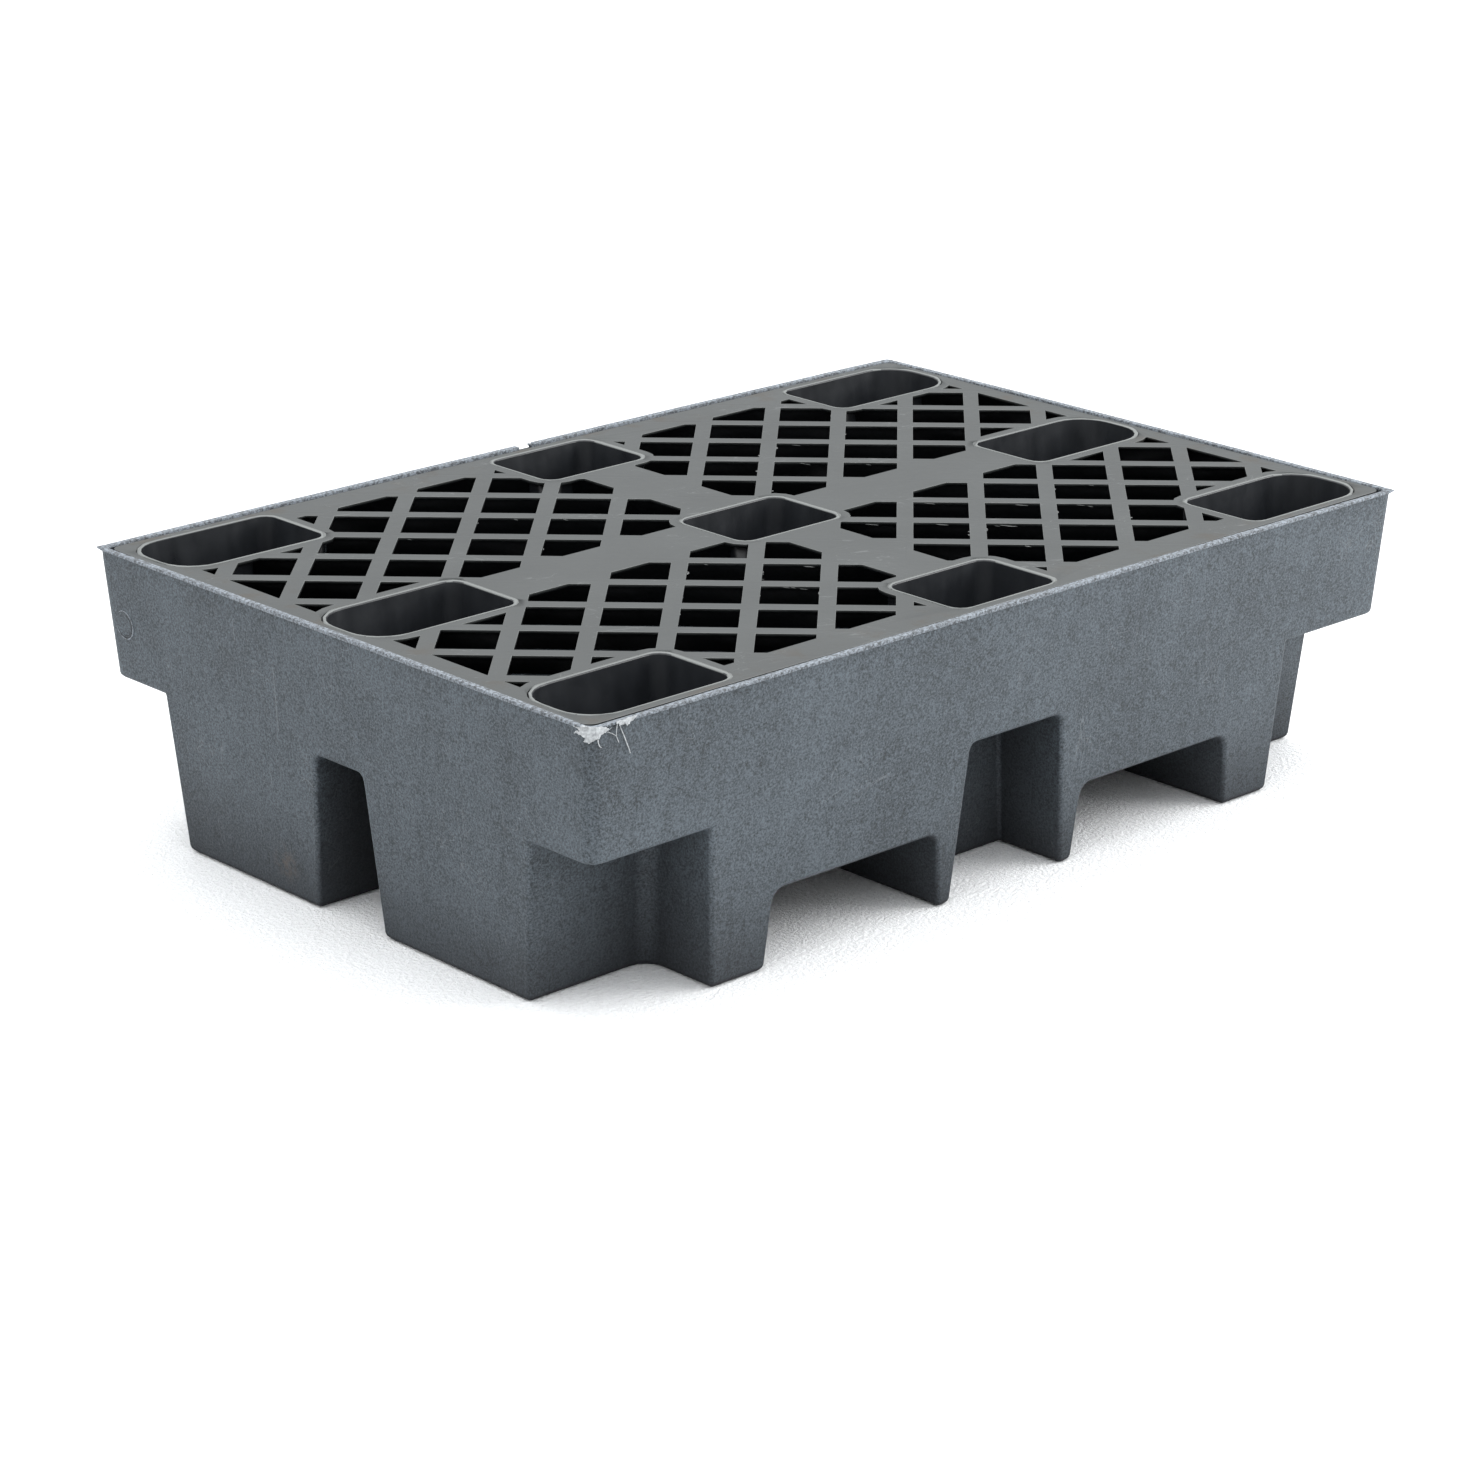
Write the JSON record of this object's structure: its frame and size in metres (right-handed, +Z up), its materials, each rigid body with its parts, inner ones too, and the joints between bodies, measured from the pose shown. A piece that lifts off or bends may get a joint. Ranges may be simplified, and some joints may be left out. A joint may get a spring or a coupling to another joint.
{
  "type": "spill containment pallet",
  "caption": "Moulded plastic sump tub with fork tunnels and a lift-out nestable grid deck that stands inside it on hollow feet.",
  "frame": {"origin": "on the floor, under the middle of the tub", "axes": "+X along the long side, +Y across to the back long side, +Z up, the way the deck lifts out"},
  "size_m": [1.22, 0.826, 0.33],
  "materials": {
    "tub_plastic": "matt blue-grey rotomoulded polyethylene with a fine mottle",
    "deck_plastic": "satin mid-grey injection-moulded polyethylene, darker inside the feet"
  },
  "bodies": {
    "sump": {"tub_inner_front_left": "tub_plastic", "tub_inner_front_right": "tub_plastic", "tub_inner_back_left": "tub_plastic", "tub_inner_back_right": "tub_plastic", "tub_outer_front_left": "tub_plastic", "tub_outer_front_right": "tub_plastic", "tub_outer_back_left": "tub_plastic", "tub_outer_back_right": "tub_plastic"},
    "deck": {"deck_grid": "deck_plastic", "foot_front_left": "deck_plastic", "foot_front_centre": "deck_plastic", "foot_front_right": "deck_plastic", "foot_middle_left": "deck_plastic", "foot_middle_centre": "deck_plastic", "foot_middle_right": "deck_plastic", "foot_back_left": "deck_plastic", "foot_back_centre": "deck_plastic", "foot_back_right": "deck_plastic"}
  },
  "joints": [
    {"name": "deck_lift", "type": "slide", "parent": "sump", "child": "deck", "axis": [0, 0, 1], "range_m": [0, 0.25]}
  ]
}
